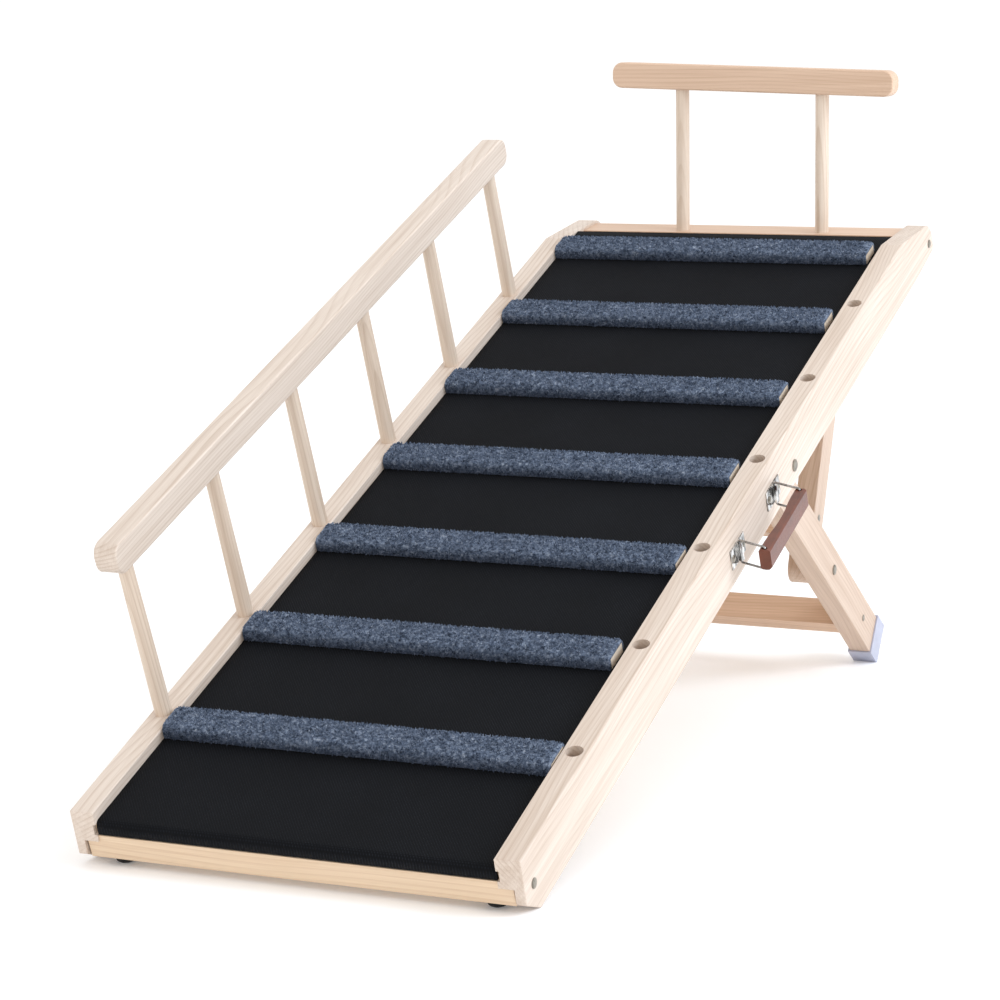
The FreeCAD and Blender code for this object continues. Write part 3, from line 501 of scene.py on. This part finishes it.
def build_cover(number, left, right, middle, half):
    """The strip's backing, wrapped over three sides of its batten."""
    outer = cover_outline(half)
    fine = len(outer)
    edge = half + SKIN
    low = MAT_TOP + SKIN
    inner = resample([(-edge, low), (-edge, SKIN), (edge, SKIN), (edge, low)], 0.004)
    xs = [left + (right - left) * step / COVER_STEPS for step in range(COVER_STEPS + 1)]
    seed = 13.7 * number

    def shape(x, u, w, index):
        if index >= fine:
            return deck_point(x, middle + u, w)
        away = Vector((0.0, u, w - (MAT_TOP + 0.004))).normalized()
        lumps = noise.noise(Vector((x, u, w)) * 330.0 + Vector((0, seed, 0)))
        swell = noise.noise(Vector((x * 38.0, u * 60.0 + seed, w * 60.0)))
        push = LUMP * lumps + SWELL * swell
        base = min(1.0, max(0.0, (w - MAT_TOP) / 0.002))
        return deck_point(x, middle + u + away.y * push * base,
                          max(w + away.z * push * base, low))

    mesh = sweep_across("carpet_cover_%d" % number, outer + inner, xs, shape)
    cover = new_piece(mesh, pile)
    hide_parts("tread_carpet_%d" % number)
    return cover


def build_tufts(number, left, right, middle, half):
    """Cut pile: slim closed tufts that lean at random, thick over the whole strip."""
    dice = random.Random(40 + number)
    outline = cover_outline(half)
    spans = list(zip(outline, outline[1:]))
    lengths = [math.hypot(c - a, d - b) for (a, b), (c, d) in spans]
    points = []
    faces = []
    for span in dice.choices(range(len(spans)), weights=lengths, k=TUFTS):
        (a, b), (c, d) = spans[span]
        share = dice.random()
        x = dice.uniform(left + END_MARGIN, right - END_MARGIN)
        u = a + (c - a) * share
        w = b + (d - b) * share
        outward = Vector((0.0, d - b, a - c)).normalized()
        near_end = min(1.0, (x - left) / END_TAPER, (right - x) / END_TAPER)
        lean = Vector((dice.gauss(0.0, TUFT_LEAN), dice.gauss(0.0, TUFT_LEAN),
                       dice.gauss(0.0, TUFT_LEAN)))
        way = (outward + lean).normalized()
        reach = TUFT_LONG * dice.uniform(0.55, 1.0) * (0.6 + 0.4 * near_end)
        foot = Vector((x, u, max(w, MAT_TOP + 0.0012))) - outward * TUFT_ROOT
        tip = foot + way * reach
        tip.z = max(tip.z, MAT_TOP + 2 * SKIN)
        side = way.orthogonal().normalized()
        other = way.cross(side)
        wide = TUFT_WIDE * dice.uniform(0.7, 1.25)
        start = len(points)
        turn = dice.uniform(0.0, math.tau)
        for centre, girth in ((foot, 0.6), (foot.lerp(tip, 0.62), 1.0)):
            for corner in range(3):
                angle = turn + corner * math.tau / 3
                spread = side * math.cos(angle) + other * math.sin(angle)
                points.append(centre + spread * wide * girth)
        points.append(tip)
        faces.append((start + 2, start + 1, start))
        for corner in range(3):
            after = (corner + 1) % 3
            faces.append((start + corner, start + after, start + 3 + after, start + 3 + corner))
            faces.append((start + 3 + corner, start + 3 + after, start + 6))
    mesh = bpy.data.meshes.new("carpet_tufts_%d" % number)
    mesh.from_pydata([deck_point(p.x, middle + p.y, p.z) for p in points], [], faces)
    return new_piece(mesh, pile)


for number in range(1, TREADS + 1):
    batten = "tread_batten_%d" % number
    (batten_left, batten_right), (batten_front, batten_back), _ = deck_box(batten)
    left_end = batten_left + SKIN
    right_end = batten_right - SKIN
    place = (left_end, right_end, (batten_front + batten_back) / 2,
             (batten_back - batten_front) / 2)
    cover = build_cover(number, *place)
    tufts = build_tufts(number, *place)

# ---- floor, light and camera --------------------------------------------------------------------
FLOOR_REACH = 9.0
FLOOR_GLOW = 0.10
SKY_LIGHT = 1.06
KEY_PLACE = (3.0, 0.2, 2.0)
KEY_AIM = (0.0, 0.0, 0.25)
KEY_SIZE = 1.6
KEY_POWER = 74.0
KEY_COLOUR = (0.76, 0.87, 1.0)
CAMERA_PLACE = (1.07477, -2.54514, 0.67723)
CAMERA_TURN = (80.83707, 0.76239, 24.26630)
CAMERA_LENS = 107.39
WHITE = (1.0, 1.0, 1.0, 1.0)

paper = Shader("pale_paper")
fleck = paper.noise(paper.place(), 3.0, 2.0, 0.5)
paper.join(paper.ramp(fleck, [(0.3, grey(0.965)), (0.7, grey(0.98))]),
           paper.surface.inputs["Base Color"])
paper.fix({"Roughness": 0.9, "Emission Color": WHITE, "Emission Strength": FLOOR_GLOW})
corners = [(-FLOOR_REACH, -FLOOR_REACH, 0.0), (FLOOR_REACH, -FLOOR_REACH, 0.0),
           (FLOOR_REACH, FLOOR_REACH, 0.0), (-FLOOR_REACH, FLOOR_REACH, 0.0)]
floor_mesh = bpy.data.meshes.new("studio_floor")
floor_mesh.from_pydata(corners, [], [(0, 1, 2, 3)])
floor_mesh.materials.append(paper.material)
floor = bpy.data.objects.new("studio_floor", floor_mesh)
scene.collection.objects.link(floor)

world = bpy.data.worlds.new("studio")
scene.world = world
world.use_nodes = True
sky = world.node_tree.nodes["Background"]
sky.inputs["Color"].default_value = WHITE
sky.inputs["Strength"].default_value = SKY_LIGHT

key_data = bpy.data.lights.new("key_right", "AREA")
key_data.shape = "RECTANGLE"
key_data.size = KEY_SIZE
key_data.size_y = KEY_SIZE
key_data.energy = KEY_POWER
key_data.color = KEY_COLOUR
key = bpy.data.objects.new("key_right", key_data)
key.location = KEY_PLACE
key.rotation_euler = (Vector(KEY_AIM) - Vector(KEY_PLACE)).to_track_quat("-Z", "Y").to_euler()
scene.collection.objects.link(key)

camera_data = bpy.data.cameras.new("camera")
camera_data.lens = CAMERA_LENS
camera_data.sensor_width = 36.0
camera_data.clip_start = 0.05
camera_data.clip_end = 60.0
camera = bpy.data.objects.new("camera", camera_data)
camera.location = CAMERA_PLACE
camera.rotation_euler = [math.radians(angle) for angle in CAMERA_TURN]
scene.collection.objects.link(camera)
scene.camera = camera
scene.view_settings.view_transform = "Standard"
scene.view_settings.look = "None"
